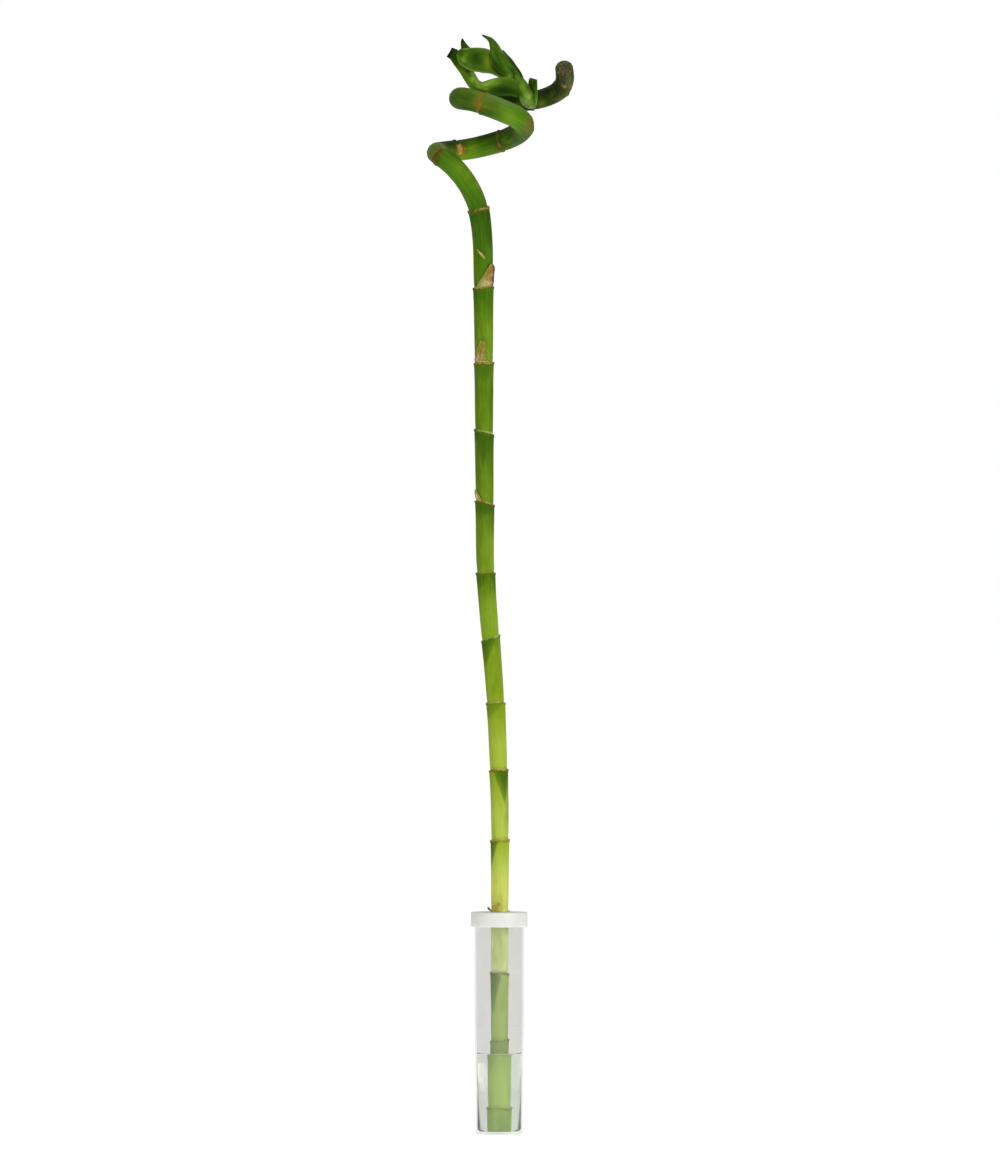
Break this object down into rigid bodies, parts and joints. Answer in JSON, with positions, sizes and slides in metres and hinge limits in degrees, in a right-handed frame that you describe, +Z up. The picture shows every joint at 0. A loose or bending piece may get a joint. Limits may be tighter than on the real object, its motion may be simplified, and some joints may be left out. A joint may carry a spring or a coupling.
{
  "type": "spiral lucky bamboo in a capped tube",
  "caption": "Cut lucky bamboo cane trained into a coil, with a leafy shoot at the coil, standing in water in a slim frosted tube with a white cap.",
  "frame": {"origin": "centre of the tube's flat underside, where it stands", "axes": "+Z up along the tube and the cane, +X to the right and -Y towards the viewer, with the coil's tip to the right and the shoot's leaves to the left"},
  "size_m": [0.0812, 0.0501, 0.6047],
  "materials": {
    "frosted_tube": "satin",
    "white_cap": "satin",
    "water": "gloss",
    "cane_skin": "satin",
    "leaf": "satin",
    "dry_sheath": "matte"
  },
  "bodies": {
    "root": {"tube": "frosted_tube", "cap": "white_cap", "water": "water", "cane": "cane_skin", "leafy_shoot": "leaf", "dry_sheath_upper": "dry_sheath", "dry_sheath_sliver": "dry_sheath", "dry_sheath_middle": "dry_sheath", "dry_sheath_lower": "dry_sheath", "dry_sheath_foot": "dry_sheath"}
  },
  "joints": []
}
